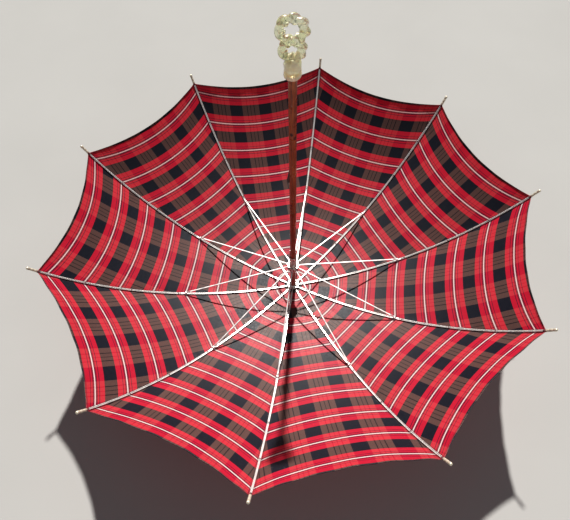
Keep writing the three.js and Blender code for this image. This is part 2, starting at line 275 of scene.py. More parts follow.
def tartan():
    m = Nodes("tartan")
    where = m.position()
    # the bands' edges wander a little; half a repeat is added so that zero is the middle of a repeat
    wobble = m.math("MULTIPLY", m.math("MULTIPLY_ADD", m.noise(where, 60, 2), 1.2, -0.6), EDGE_WANDER)
    weft_mm = m.math("ADD", m.attribute("weft"), WEFT_PERIOD * FAR + WEFT_PERIOD / 2)
    warp_mm = m.math("ADD", m.attribute("warp"), WARP_PERIOD * FAR + WARP_PERIOD / 2)
    weft_mm, warp_mm = m.math("ADD", weft_mm, wobble), m.math("ADD", warp_mm, wobble)
    # a red band with a white line in its middle, and a tan block with fine dark lines
    c = WEFT_PERIOD / 2
    weft = stripes(m, weft_mm, WEFT_PERIOD, [
        (0, BLACK), (c - 19.5, RED), (c - 9.2, DEEP_RED), (c - 8.0, RED), (c - 4.4, DEEP_RED), (c - 3.2, RED),
        (c - 2.3, BLACK), (c - LINE_HALF, WHITE), (c + LINE_HALF, BLACK), (c + 2.3, RED), (c + 3.2, DEEP_RED),
        (c + 4.4, RED), (c + 8.0, DEEP_RED), (c + 9.2, RED), (c + 19.0, BLACK),
    ])
    d = WARP_PERIOD / 2
    warp = stripes(m, warp_mm, WARP_PERIOD, [
        (0, NAVY), (d - 20.5, TAN), (d - 9.2, TAN_LINE), (d - 7.6, TAN), (d - 0.6, TAN_LINE), (d + 0.5, TAN),
        (d + 7.6, TAN_LINE), (d + 9.2, TAN), (d + 20.5, NAVY),
    ])
    # the warp shows between a quarter and a half, less in the red bands and least on the white lines
    in_repeat = m.math("MULTIPLY", m.math("FRACT", m.math("DIVIDE", weft_mm, WEFT_PERIOD)), WEFT_PERIOD)
    from_line = m.math("ABSOLUTE", m.math("SUBTRACT", in_repeat, c))
    is_white = m.math("LESS_THAN", from_line, LINE_HALF)
    in_red = m.math("LESS_THAN", from_line, RED_HALF)
    diagonal = m.math("MULTIPLY", m.math("ADD", weft_mm, warp_mm), 2 * math.pi / TWILL_PITCH)
    twill = m.math("MULTIPLY_ADD", m.math("SINE", diagonal), 0.5, 0.5)
    share = m.math("MULTIPLY_ADD", twill, 0.22, 0.27)
    share = m.math("MULTIPLY", share, m.math("MULTIPLY_ADD", in_red, -0.42, 1.0))
    share = m.math("MULTIPLY", share, m.math("MULTIPLY_ADD", is_white, -0.65, 1.0))
    cloth = m.mix(share, weft, warp)
    # threads vary a little, and the whole cloth is slightly faded in clouds
    threads = m.noise(where, 900, 2)
    faded = m.math("MULTIPLY_ADD", m.noise(where, 7, 3), 0.30, -0.05)
    value = m.math("ADD", m.math("MULTIPLY_ADD", threads, 0.34, 0.74), faded)
    cloth = m.mix(1.0, cloth, m.ramp(m.range(value, 0.6, 1.4, 0, 1), [(0, 0.62), (1, 1.0)]), "MULTIPLY")
    # next to a seam and along the hem the cloth is double, and its colour is darkened there as painted shade for
    # the light the two layers hold back; a row of stitches runs along each
    seam, hem = m.attribute("seam"), m.attribute("hem")
    doubled = m.math("MAXIMUM", m.math("LESS_THAN", seam, SEAM_DOUBLE), m.math("LESS_THAN", hem, HEM_DOUBLE))
    # painted shade over the doubled cloth
    cloth = m.mix(m.math("MULTIPLY", doubled, 0.28), cloth, DOUBLED_CLOTH_PAINTED_SHADE)
    seam_row = m.math("COMPARE", seam, SEAM_STITCHES, STITCH_HALF)
    hem_row = m.math("COMPARE", hem, HEM_STITCHES, STITCH_HALF)
    in_stitch = m.math("FRACT", m.math("DIVIDE", m.attribute("run"), STITCH_PITCH))
    dash = m.math("GREATER_THAN", in_stitch, STITCH_GAP)
    stitches = m.math("MULTIPLY", m.math("MAXIMUM", seam_row, hem_row), dash)
    cloth = m.mix(m.math("MULTIPLY", stitches, 0.8), cloth, STITCH_COLOUR)
    height = m.math("ADD", m.math("MULTIPLY", twill, 0.35), m.math("MULTIPLY", threads, 0.5))
    height = m.math("ADD", height, m.math("MULTIPLY", stitches, 0.9))
    normal = m.bump(height, 0.0002, 0.55)
    rough = m.range(m.noise(where, 240, 2), 0.3, 0.7, 0.44, 0.56)
    front = m.principled(Base_Color=cloth, Roughness=rough, Normal=normal, Sheen_Weight=0.12)
    front.inputs["Sheen Roughness"].default_value = 0.4
    front.inputs["Specular IOR Level"].default_value = 0.42
    # light comes through the red bands and hardly through the dark ones
    through = m.add("ShaderNodeBsdfTranslucent")
    passed = m.mix(in_red, THROUGH_DARK, THROUGH_RED)
    m.put(through.inputs["Color"], m.mix(1.0, cloth, passed, "MULTIPLY"))
    m.put(through.inputs["Normal"], normal)
    both = m.add("ShaderNodeMixShader")
    m.put(both.inputs[0], m.math("MULTIPLY_ADD", doubled, -0.12, 0.34))
    m.link(front.outputs[0], both.inputs[1])
    m.link(through.outputs[0], both.inputs[2])
    return m.done(both.outputs[0])


def metal(name, colour, rough, dark, wear_scale, metallic=1.0, dirt=0.35):
    """Plated or bare metal: fine scratches, small stains, and dirt that gathers in clouds."""
    m = Nodes(name)
    where = m.position()
    clouds = m.noise(where, wear_scale, 4, 0.6)
    specks = m.noise(where, wear_scale * 9, 3, 0.6)
    scratches = m.noise(m.scaled(where, (1, 1, 6)), 700, 2)
    stained = m.math("MULTIPLY", m.range(clouds, 0.5, 0.75, 0, 1), dirt)
    spotted = m.math("MULTIPLY", m.range(specks, 0.62, 0.74, 0, 1), dirt * 0.8)
    stained = m.math("ADD", stained, spotted, clamp=True)
    base = m.mix(m.math("MULTIPLY", scratches, 0.12), m.mix(stained, colour, dark), (1, 1, 1))
    roughness = m.range(clouds, 0.3, 0.7, rough * 0.75, rough * 1.3)
    roughness = m.math("ADD", roughness, m.math("MULTIPLY", stained, 0.25), clamp=True)
    height = m.math("ADD", m.math("MULTIPLY", scratches, 0.3), m.math("MULTIPLY", specks, 0.5))
    shader = m.principled(Base_Color=base, Roughness=roughness, Normal=m.bump(height, 0.00008, 0.5))
    shader.inputs["Metallic"].default_value = metallic
    return m.done(shader.outputs[0])


def lacquered_wood():
    m = Nodes("lacquered_wood")
    where = m.position()
    along = m.scaled(where, (1, 1, 0.05))
    ripple = m.noise(m.scaled(where, (1, 1, 0.15)), 60, 2)
    grain = m.noise(along, 520, 4, 0.6, 0.4)
    broad = m.noise(along, 150, 3, 0.55, 0.8)
    pores = m.noise(m.scaled(where, (1, 1, 0.03)), 1500, 2)
    tone = m.math("ADD", m.math("MULTIPLY", grain, 0.45), m.math("MULTIPLY", broad, 0.55))
    colour = m.ramp(tone, [
        (0.30, (0.055, 0.010, 0.003)), (0.45, (0.18, 0.040, 0.008)),
        (0.56, (0.31, 0.080, 0.015)), (0.72, (0.50, 0.16, 0.034)),
    ])
    colour = m.mix(m.range(pores, 0.60, 0.72, 0, 0.7), colour, (0.03, 0.007, 0.004))
    # the stick is painted redder and darker towards the crown, browner towards the handle
    colour = m.mix(m.range(m.attribute("height"), 260, 90, 0, 0.5), colour, (0.16, 0.014, 0.006))
    colour = m.mix(m.range(m.attribute("knot"), 0.06, 0.55, 0, 0.95), colour, (0.012, 0.005, 0.003))
    colour = m.mix(m.range(m.noise(where, 45, 3), 0.58, 0.75, 0, 0.35), colour, (0.46, 0.17, 0.05))
    roughness = m.range(m.noise(where, 90, 3), 0.3, 0.7, 0.22, 0.42)
    normal = m.bump(m.math("ADD", grain, m.math("MULTIPLY", ripple, 0.6)), 0.00025, 0.35)
    shader = m.principled(Base_Color=colour, Roughness=roughness, Normal=normal)
    shader.inputs["Coat Weight"].default_value = 0.6
    shader.inputs["Coat Roughness"].default_value = 0.12
    return m.done(shader.outputs[0])


def acrylic():
    """Cast acrylic: clear with a yellow tint, cloudier where core is high, and painted amber in a band that stands
    for the stick's wood seen through the knob and for a painted reflection of the red canopy.
    """
    m = Nodes("clear_acrylic")
    where = m.position()
    clouds = m.noise(where, 55, 3)
    fine = m.noise(where, 420, 3)
    tint = m.mix(m.range(clouds, 0.35, 0.7, 0, 1), (0.99, 1.0, 0.84), (0.93, 0.96, 0.58))
    # painted amber: the stick's wood seen through the knob, and a painted reflection of the red canopy
    tint = m.mix(m.attribute("amber"), tint, (0.93, 0.66, 0.25))
    roughness = m.range(clouds, 0.3, 0.7, 0.16, 0.30)
    normal = m.bump(m.math("ADD", clouds, m.math("MULTIPLY", fine, 0.3)), 0.0016, 0.5)
    shader = m.principled(Base_Color=tint, Roughness=roughness, Normal=normal)
    shader.inputs["IOR"].default_value = 1.49
    m.put(shader.inputs["Transmission Weight"], m.math("MULTIPLY_ADD", m.attribute("core"), -0.34, 0.78))
    shader.inputs["Coat Weight"].default_value = 1.0
    shader.inputs["Coat Roughness"].default_value = 0.05
    return m.done(shader.outputs[0])


def plain_cloth(name, colour, scale=900):
    m = Nodes(name)
    where = m.position()
    fibres = m.noise(where, scale, 3)
    clouds = m.noise(where, 40, 2)
    shade = m.math("MULTIPLY_ADD", fibres, 0.7, m.math("MULTIPLY", clouds, 0.3))
    base = m.mix(shade, tuple(x * 0.5 for x in colour), tuple(min(1, x * 1.7) for x in colour))
    shader = m.principled(Base_Color=base, Normal=m.bump(fibres, 0.0003, 0.6), Sheen_Weight=0.3)
    shader.inputs["Roughness"].default_value = 0.85
    return m.done(shader.outputs[0])


MAT = {
    "tartan": tartan(),
    "wood": lacquered_wood(),
    "acrylic": acrylic(),
    "steel": metal("bright_steel", (0.84, 0.83, 0.82), 0.36, (0.30, 0.26, 0.22), 90, 0.72),
    "nickel": metal("nickel", (0.74, 0.72, 0.68), 0.26, (0.28, 0.24, 0.18), 120, dirt=0.5),
    "black_steel": metal("black_steel", (0.012, 0.012, 0.012), 0.40, (0.06, 0.035, 0.02), 160, 0.15, 0.25),
    "brass": metal("tarnished_brass", (0.70, 0.63, 0.50), 0.42, (0.26, 0.21, 0.16), 160, 0.55, 0.7),
    "black_cloth": plain_cloth("black_cloth", (0.02, 0.02, 0.024)),
    "thread": plain_cloth("thread", (0.10, 0.02, 0.025), 2500),
}


# ---- mesh helpers ----
def shade_smooth(mesh):
    mesh.polygons.foreach_set("use_smooth", [True] * len(mesh.polygons))


def new_object(name, points, faces, material, smooth=True):
    mesh = bpy.data.meshes.new(name)
    mesh.from_pydata([tuple(p) for p in points], [], faces)
    mesh.validate()
    mesh.materials.append(material)
    if smooth:
        shade_smooth(mesh)
    obj = bpy.data.objects.new(name, mesh)
    bpy.context.scene.collection.objects.link(obj)
    return obj


def sharpen(obj, degrees=35):
    """Edges sharper than this stay crisp under smooth shading."""
    bm = bmesh.new()
    bm.from_mesh(obj.data)
    limit = math.radians(degrees)
    for e in bm.edges:
        if len(e.link_faces) == 2 and e.calc_face_angle() > limit:
            e.smooth = False
    bm.to_mesh(obj.data)
    bm.free()
    return obj


def apply_modifiers(obj, material):
    """Makes the modified shape the mesh, in one material and smooth all over."""
    bpy.context.view_layer.update()
    evaluated = obj.evaluated_get(bpy.context.evaluated_depsgraph_get())
    mesh = bpy.data.meshes.new_from_object(evaluated)
    old = obj.data
    obj.modifiers.clear()
    obj.data = mesh
    bpy.data.meshes.remove(old)
    mesh.materials.clear()
    mesh.materials.append(material)
    shade_smooth(mesh)


def read_points(obj):
    """The mesh's points in millimetres, one row each."""
    co = np.empty(len(obj.data.vertices) * 3)
    obj.data.vertices.foreach_get("co", co)
    return co.reshape(-1, 3) / MM


def set_attributes(obj, **values):
    for key, value in values.items():
        layer = obj.data.attributes.new(key, "FLOAT", "POINT")
        layer.data.foreach_set("value", value.astype(np.float32).ravel())


def mm(points):
    return [Vector(p) * MM for p in points]


def in_rib_plane(r, z):
    """A point in the frame of a rib along +X."""
    return Vector((r, 0, z))


def around(a, radius, z):
    return Vector((radius * math.cos(a), radius * math.sin(a), z))


def circle(radius, sides=12):
    angles = [2 * math.pi * k / sides for k in range(sides)]
    return [(radius * math.cos(a), radius * math.sin(a)) for a in angles]


def ring_faces(rings, count, closed_path=False):
    """Quads between rings of count points, with a cap on each end of an open path."""
    faces = []
    for r in range(rings if closed_path else rings - 1):
        a, b = r * count, ((r + 1) % rings) * count
        for k in range(count):
            n = (k + 1) % count
            faces.append((a + k, a + n, b + n, b + k))
    if not closed_path:
        faces.append(tuple(reversed(range(count))))
        faces.append(tuple((rings - 1) * count + k for k in range(count)))
    return faces


def sweep(path, section, up, closed_path=False, scale=None):
    """A closed section of (side, up) carried along a path. up is a direction, or gives it at point k."""
    points = []
    n = len(path)
    for k, p in enumerate(path):
        before = path[(k - 1) % n if closed_path else max(k - 1, 0)]
        after = path[(k + 1) % n if closed_path else min(k + 1, n - 1)]
        along = (Vector(after) - Vector(before)).normalized()
        u = up(k) if callable(up) else up
        u = (u - along * u.dot(along)).normalized()
        side = along.cross(u)
        s = scale(k) if scale else 1.0
        points += [Vector(p) + side * (x * s) + u * (y * s) for x, y in section]
    return points, ring_faces(n, len(section), closed_path)


def lathe(outline, sides=48):
    """A closed outline of (radius, height), turned round Z. Points on the axis are merged."""
    points, faces, rows = [], [], []
    for r, z in outline:
        if r < 1e-9:
            rows.append([len(points)] * sides)
            points.append((0, 0, z))
        else:
            rows.append(list(range(len(points), len(points) + sides)))
            points += [(x, y, z) for x, y in circle(r, sides)]
    for a, b in zip(rows[:-1], rows[1:]):
        for k in range(sides):
            n = (k + 1) % sides
            corners = tuple(dict.fromkeys((a[k], a[n], b[n], b[k])))
            if len(corners) > 2:
                faces.append(corners)
    return points, faces


def raised(outline, z):
    return [(r, z + h) for r, h in outline]


class Parts:
    """Collects closed parts into one mesh, in metres."""

    def __init__(self):
        self.points, self.faces = [], []

    def add(self, points, faces, matrix=None):
        base = len(self.points)
        self.points += [tuple(matrix @ Vector(p)) if matrix else tuple(p) for p in points]
        self.faces += [tuple(base + k for k in f) for f in faces]
        return self

    def add_mm(self, points, faces):
        return self.add(mm(points), faces)

    def add_swept(self, path, section, up, scale=None):
        """A section carried along a path, both in millimetres."""
        return self.add(*sweep(mm(path), [(x * MM, y * MM) for x, y in section], up, scale=scale))

    def make(self, name, material):
        return new_object(name, self.points, self.faces, material)


def finish_piece(obj, body, slot, replaces=()):
    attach(obj, body)
    if replaces:
        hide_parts(*replaces)


# ---- canopy: each gore is cut along its middle and at the ribs' bend, so that every part follows its rib ----
TAN_PLACE = (-11.6, 7.2, -26.0, 11.6, -3.8, 0.0, 20.1, -31.5, 20.5, -27.3)  # a tan block, from a gore's middle
LINE_AT_MIDDLE = 70.3   # the outermost white line, from the rib tips' ring, along a gore's middle
LINE_AT_RIB = 41.2      # and along a rib
RIB_SPACING = 75.5      # between the white lines along a rib, at the outermost one
SPACING_LOSS = 1.2      # by which the spacing shrinks from each line to the next
INWARD_SAG, SAG_R = 2.5, 500
ROWS, COLUMNS = 46, 24
HEM_ROLL, HEM_STEPS, HEM_TURN = 0.85, 7, math.radians(310)  # radius, steps and angle of the rolled edge
HEM_RUN = 6             # this near to the hem the stitches follow it
PLEAT = {"inner": (24.1, 0.0713), "outer": (29.0, 0.0120)}  # tilt of the closing direction, what is left
GORE_START = (GORE_START_R - PIVOT_R) / RIB_LEN
PUCKERS, PUCKER_REACH = ((0.32, 2.9, 1.3), (0.22, 5.3, 2.1)), 9.0  # height, length, phase from gore to gore


def arc_point(share, depth):
    """rib_point for arrays."""
    a, r = slope_at(share), ARC_R - depth
    return ARC_C[0] + r * np.sin(a), ARC_C[1] - r * np.cos(a)


# length of cloth along a gore's middle, at shares of a rib's length
MIDDLE_SHARES = np.linspace(0, 1, 1201)
middle_r, middle_z = arc_point(MIDDLE_SHARES, CLOTH_DEPTH)
middle_steps = np.hypot(np.diff(middle_r * math.cos(HALF)), np.diff(middle_z))
MIDDLE_RUN = np.concatenate([[0], np.cumsum(middle_steps)])


def weft_at(share, u):
    """Cloth from the outermost white line towards the crown. Its straight lines bow on the canopy."""
    middle = (MIDDLE_RUN[-1] - np.interp(share, MIDDLE_SHARES, MIDDLE_RUN)) - LINE_AT_MIDDLE
    along_rib = (1 - share) * RIB_LEN - LINE_AT_RIB
    spacing = np.sqrt(RIB_SPACING ** 2 - 2 * SPACING_LOSS * along_rib)
    at_rib = WEFT_PERIOD * (RIB_SPACING - spacing) / SPACING_LOSS
    return middle + (at_rib - middle) * (1 - u) ** 2


def hem_share(u):
    return GORE_END - SCALLOP * (1 - (1 - u) ** 2)


def unevenness(share, u, x, across, run, gore_no):
    """Small puckers along the seams, a slow unevenness of the whole panel, and waves at the hem."""
    pucker = sum(high * np.sin(run / long + phase * gore_no) for high, long, phase in PUCKERS)
    pucker = np.exp(-across / PUCKER_REACH) * pucker
    slow = 0.9 * np.sin(x / 41.0 + gore_no) * np.sin(run / 63.0 + 1.7 * gore_no)
    hem_near = np.exp(-np.maximum(hem_share(u) - share, 0) * RIB_LEN / 16.0)
    wave = 0.7 * hem_near * np.sin(x / 9.5 + 0.8 * gore_no)
    fade = np.clip(across / 14.0, 0, 1) * np.clip((share - 0.01) / 0.06, 0, 1)
    near_seam = np.clip((share - 0.01) / 0.05, 0, 1) * np.clip(across / 2.5, 0, 1)
    return pucker * near_seam + (slow + wave) * fade


def cloth_surface(i, side, share, u, gore_no):
    """Points of the canopy. u runs from 0 at rib i's seam to 1 at the gore's middle."""
    r, z = arc_point(share, CLOTH_DEPTH)
    slope = slope_at(share)
    edge = r * math.sin(HALF)
    across = u * edge
    run = share * RIB_LEN
    x = -side * (1 - u) * edge
    inward = INWARD_SAG * (r / SAG_R) ** 2 * (1 - (1 - u) ** 2)
    inward = inward + unevenness(share, u, x, across, run, gore_no)
    middle = azimuth(i) - side * HALF
    out = np.array([math.cos(middle), math.sin(middle), 0.0])
    left = np.array([-math.sin(middle), math.cos(middle), 0.0])
    radial = r * math.cos(HALF) - inward * np.sin(slope)
    height = z + inward * np.cos(slope)
    points = out * radial[..., None] + left * (-x)[..., None] + np.array([0, 0, 1.0]) * height[..., None]
    return points, x, across, run


def rolled_hem(points):
    """The rows of the edge rolled to the inside, each with its angle."""
    end, before = points[-1], points[-3]
    out = (end - before) / np.linalg.norm(end - before, axis=1)[:, None]
    lateral = np.gradient(end, axis=0)
    lateral /= np.linalg.norm(lateral, axis=1)[:, None]
    inside = np.cross(out, lateral)
    inside *= np.sign(inside[:, 2])[:, None]
    for k in range(1, HEM_STEPS + 1):
        a = HEM_TURN * k / HEM_STEPS
        yield end + out * HEM_ROLL * math.sin(a) + inside * HEM_ROLL * (1 - math.cos(a)), a


def canopy_part(i, side, part, u, low, high, gore_no):
    """A quarter of a gore: the half on this side of rib i, between two shares of its length."""
    t = np.linspace(0, 1, ROWS + 1)[:, None]
    share = low + (high - low) * t
    uu = np.broadcast_to(u, share.shape)
    points, x, across, run = cloth_surface(i, side, share, uu, gore_no)
    weft, warp = weft_at(share, uu), x - TAN_PLACE[gore_no]
    hem = (hem_share(uu) - share) * RIB_LEN
    rows = [points]
    run = np.where(hem < HEM_RUN, x, run)
    maps = {"weft": [weft], "warp": [warp], "seam": [across], "hem": [hem], "run": [run]}
    if part == "outer":
        for row, a in rolled_hem(points):
            rolled = HEM_ROLL * a
            rows.append(row[None])
            past_hem = (weft[-1] - rolled, warp[-1], across[-1], np.full_like(u, -rolled), x[-1])
            for values, value in zip(maps.values(), past_hem):
                values.append(value[None])
    grid = np.concatenate(rows)
    n_rows, n_cols = grid.shape[:2]
    faces = []
    for a in range(n_rows - 1):
        for b in range(n_cols - 1):
            p = a * n_cols + b
            quad = (p, p + 1, p + n_cols + 1, p + n_cols)
            faces.append(quad if side < 0 else tuple(reversed(quad)))
    name = f"cloth_{part}_{label(i)}_{'right' if side > 0 else 'left'}"
    obj = new_object(name, grid.reshape(-1, 3) * MM, faces, MAT["tartan"])
    set_attributes(obj, **{key: np.concatenate(values) for key, values in maps.items()})
    return obj


def pleat_axis(i, side, part):
    """The direction a part closes along as the umbrella folds, and the point of the seam that stays put."""
    ends = (GORE_START, FLEX) if part == "inner" else (FLEX, GORE_END)
    a, b = (in_rib_plane(*rib_point(share, CLOTH_DEPTH)) for share in ends)
    along = (b - a).normalized()
    tangent = Vector((0, -side, 0))
    outward = Vector((along.z, 0, -along.x))
    tilt = math.radians(PLEAT[part][0])
    axis = tangent * math.cos(tilt) - outward * math.sin(tilt)
    spin = turned(i).to_3x3()
    return spin @ axis, (spin @ a) * MM


def canopy():
    u = np.linspace(0, 1, COLUMNS + 1)
    spans = {  # where a part starts and ends, its body, and how much of its trapezium is cloth
        "inner": (np.full_like(u, GORE_START), np.full_like(u, FLEX), "rib_", 1.0),
        "outer": (np.full_like(u, FLEX), hem_share(u), "rib_end_", 0.95),
    }
    for i in range(RIBS):
        for side in (1, -1):
            gore_no = (i if side > 0 else i - 1) % RIBS
            for part, (low, high, body, fullness) in spans.items():
                piece = canopy_part(i, side, part, u, low, high, gore_no)
                finish_piece(piece, body + label(i), "tartan_cloth", [f"gore_{label(gore_no)}"])
                axis, anchor = pleat_axis(i, side, part)
                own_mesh(piece)
                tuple(axis)
                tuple(anchor)
                first, last = float(low[0]), float(high.max())
                narrow, widest = (rib_point(share)[0] * math.sin(HALF) * MM for share in (first, last))


canopy()


# ---- ribs, stretchers and tips, each built for a rib along +X and copied round ----
EYE_W, EYE_OUTER, EYE_INNER = 1.5, 1.9, 0.85
TONGUE = 7.4            # from a wire to where the full section starts
BEND_ZONE = 30.0        # the span on either side of a rib's bend
ROUNDED = 0.15          # softened corners
SADDLE_HALF = 8.5
EAR_R, EAR_HALF, EAR_FOOT = 1.7, 0.72, 3.6
FORK_Y, FORK_WALL = 1.45, 0.7
RIVET_R, RIVET_HALF, RIVET_DOME = 0.95, 2.0, 0.45
STRETCH_A = in_rib_plane(PIVOT_R, RUNNER_Z)
STRETCH_B = in_rib_plane(*JOINT_P)
STRETCH_LEN = (STRETCH_B - STRETCH_A).length
TIES_INNER, TIES_OUTER = (0.10, 0.24, 0.44), (0.62, 0.79)
THREAD_STEPS = 20       # in one turn


def channel(width, height, wall):
    """A U section, open towards +up, with softened corners."""
    w, h, c, q = width / 2, height / 2, wall * 0.9, ROUNDED
    return [
        (-w + c, -h), (w - c, -h), (w, -h + c), (w, h - q), (w - q, h), (w - wall + 0.1, h), (w - wall, h - q),
        (w - wall, -h + wall), (-w + wall, -h + wall), (-w + wall, h - q), (-w + wall - 0.1, h), (-w + q, h),
        (-w, h - q), (-w, -h + c),
    ]


def flat_bar(width, height, corner=0.2):
    w, h, c = width / 2, height / 2, corner
    below, above = [(-w + c, -h), (w - c, -h), (w, -h + c)], [(w, h - c), (w - c, h), (-w + c, h)]
    return below + above + [(-w, h - c), (-w, -h + c)]


def eye(centre, outer, inner, width, y=0.0, sides=20):
    """A flat ring in the rib's plane, y to the side of it."""
    half, trimmed = width / 2, outer - ROUNDED
    section = [(outer, -half + ROUNDED), (outer, half - ROUNDED), (trimmed, half)]
    section += [(inner, half), (inner, -half), (trimmed, -half)]
    points = [centre + Vector((x, y + across, z)) for r, across in section for x, z in circle(r, sides)]
    return points, ring_faces(len(section), sides, closed_path=True)


def inward_at(share):
    a = slope_at(share)
    return Vector((-math.sin(a), 0, math.cos(a)))


def directions_at(share):
    """Inwards, and along the rib towards its tip."""
    n = inward_at(share)
    return n, Vector((n.z, 0, -n.x))


def rib_path(low, high, steps):
    """Points of a rib between two shares of its length, and what is up at each."""
    shares = [low + (high - low) * k / steps for k in range(steps + 1)]
    return [in_rib_plane(*rib_point(s)) for s in shares], lambda k: inward_at(shares[k])


def narrowed_ends(last, amount):
    """Makes the first and the last section of a sweep smaller."""
    return lambda k: amount if k in (0, last) else 1.0


def rib_mesh():
    parts = Parts()
    steps = 90
    path, up = rib_path((TONGUE - 0.6) / RIB_LEN, 1 - (CAP_LENGTH - 3.0) / RIB_LEN, steps)
    parts.add_swept(path, channel(3.7, 2.4, 0.6), up, narrowed_ends(steps, 0.82))
    # the flattened tongue and its eye on the crown's wire
    path, up = rib_path(1.5 / RIB_LEN, (TONGUE + 3.5) / RIB_LEN, 6)
    parts.add_swept(path, flat_bar(EYE_W, 2.0), up)
    return parts.add_mm(*eye(in_rib_plane(PIVOT_R, CROWN_Z), EYE_OUTER, EYE_INNER, EYE_W))


def joint_mesh():
    """The saddle wrapped round a rib at its joint, with the ear that the stretcher is riveted to."""
    parts = Parts()
    half, steps = SADDLE_HALF / RIB_LEN, 8
    path, up = rib_path(JOINT - half, JOINT + half, steps)
    parts.add_swept(path, flat_bar(4.0, 3.1, 0.5), up, narrowed_ends(steps, 0.86))
    n, t = directions_at(JOINT)
    foot, tip = in_rib_plane(*rib_point(JOINT, 0.6)), in_rib_plane(*JOINT_P)
    bends = [math.pi * k / 12 for k in range(13)]
    outline = [tip + t * (EAR_R * math.cos(a)) + n * (EAR_R * math.sin(a)) for a in bends]
    outline += [foot - t * EAR_FOOT, foot + t * EAR_FOOT]
    count = len(outline)
    points = [p + Vector((0, y, 0)) for y in (-EAR_HALF, EAR_HALF) for p in outline]
    faces = [tuple(range(count)), tuple(reversed(range(count, 2 * count)))]
    faces += [(k, k + count, (k + 1) % count + count, (k + 1) % count) for k in range(count)]
    return parts.add_mm(points, faces)


def rivet_mesh():
    """A pin across the joint, with low domed ends."""
    centre, sides = in_rib_plane(*JOINT_P), 16
    end, shoulder = RIVET_HALF + RIVET_DOME, RIVET_HALF + RIVET_DOME * 0.35
    stations = [(-end, 0.5), (-shoulder, 0.88), (-RIVET_HALF, 1.0)]
    stations += [(RIVET_HALF, 1.0), (shoulder, 0.88), (end, 0.5)]
    points = [centre + Vector((x, y, -z)) for y, share in stations for x, z in circle(RIVET_R * share, sides)]
    return Parts().add_mm(points, ring_faces(len(stations), sides))


def stretcher_mesh():
    parts = Parts()
    along = (STRETCH_B - STRETCH_A).normalized()
    up = Vector((-along.z, 0, along.x))

    def at(distance, y=0.0):
        return STRETCH_A + along * distance + Vector((0, y, 0))

    steps = 24
    path = [at(TONGUE + (STRETCH_LEN - 10 - TONGUE) * k / steps) for k in range(steps + 1)]
    section = [(x, -y) for x, y in reversed(channel(2.8, 2.0, 0.5))]
    parts.add_swept(path, section, up, lambda k: 0.85 if k == 0 else 1.0)
    # tongue and eye on the runner's wire
    parts.add_swept([at(1.5), at(3.5), at(TONGUE + 3)], flat_bar(EYE_W, 1.8), up)
    parts.add_mm(*eye(STRETCH_A, EYE_OUTER, EYE_INNER, EYE_W))
    # the fork: two cheeks that leave the channel and reach past the rivet
    for s in (-1, 1):
        stations = [(15, 1.1), (11, 1.15), (7, FORK_Y), (1.2, FORK_Y)]
        parts.add_swept([at(STRETCH_LEN - d, s * y) for d, y in stations], flat_bar(FORK_WALL, 1.9, 0.12), up)
        parts.add_mm(*eye(STRETCH_B, 2.0, 0.9, FORK_WALL, s * FORK_Y))
    return parts


def tip_mesh():
    """A cap on the rib's end: socket, waist with a groove for the thread, and a domed bead."""
    points, faces = lathe([
        (0, 0), (2.2, 0), (2.55, 0.5), (2.65, 5.5), (2.35, 6.3), (2.35, 7.2), (2.7, 8.0), (2.75, 12.4), (2.4, 13.4),
        (2.35, 14.4), (2.7, 15.4), (2.9, 16.8), (2.95, 18.9), (2.8, 20.3), (2.2, 21.4), (1.1, 21.95), (0, 22.0),
    ], 24)
    start, end = in_rib_plane(*rib_point(1 - CAP_LENGTH / RIB_LEN)), in_rib_plane(*rib_point(1))
    along = (end - start).normalized()
    side = Vector((0, 1, 0))
    up = along.cross(side)
    return Parts().add_mm([start + side * x + up * y + along * z for x, y, z in points], faces)


def wind(parts, centre, n, t, half_side, half_up, thick, turns=3, pitch=0.5):
    """A few turns of thread round a rib that runs along t, with n inwards."""
    side = t.cross(n).normalized()
    steps = THREAD_STEPS * turns
    path = []
    for k in range(steps + 1):
        a = 2 * math.pi * k / THREAD_STEPS
        along = t * ((k / steps - 0.5) * pitch * turns)
        path.append(centre + side * (half_side * math.cos(a)) + n * (half_up * math.sin(a)) + along)
    parts.add_swept(path, circle(thick, 6), t)


def ties_mesh(places):
    """Thread ties round the rib and the seam."""
    parts = Parts()
    for share in places:
        wind(parts, in_rib_plane(*rib_point(share, -0.35)), *directions_at(share), 2.0, 1.95, 0.32)
    return parts


def tip_thread_mesh():
    """The thread that binds a corner of the cloth to the cap: two windings side by side."""
    parts = Parts()
    share = 1 - (CAP_LENGTH + 0.9) / RIB_LEN
    for k, (half_side, half_up) in enumerate(((2.3, 2.2), (2.0, 2.6))):
        centre = in_rib_plane(*rib_point(share - k * 2.2 / RIB_LEN, -0.5))
        wind(parts, centre, *directions_at(share), half_side, half_up, 0.33, 4, 0.55)
    return parts


def copy_turned(parts, name, material, i):
    fresh = Parts().add(parts.points, parts.faces, turned(i))
    return sharpen(fresh.make(name, MAT[material]))


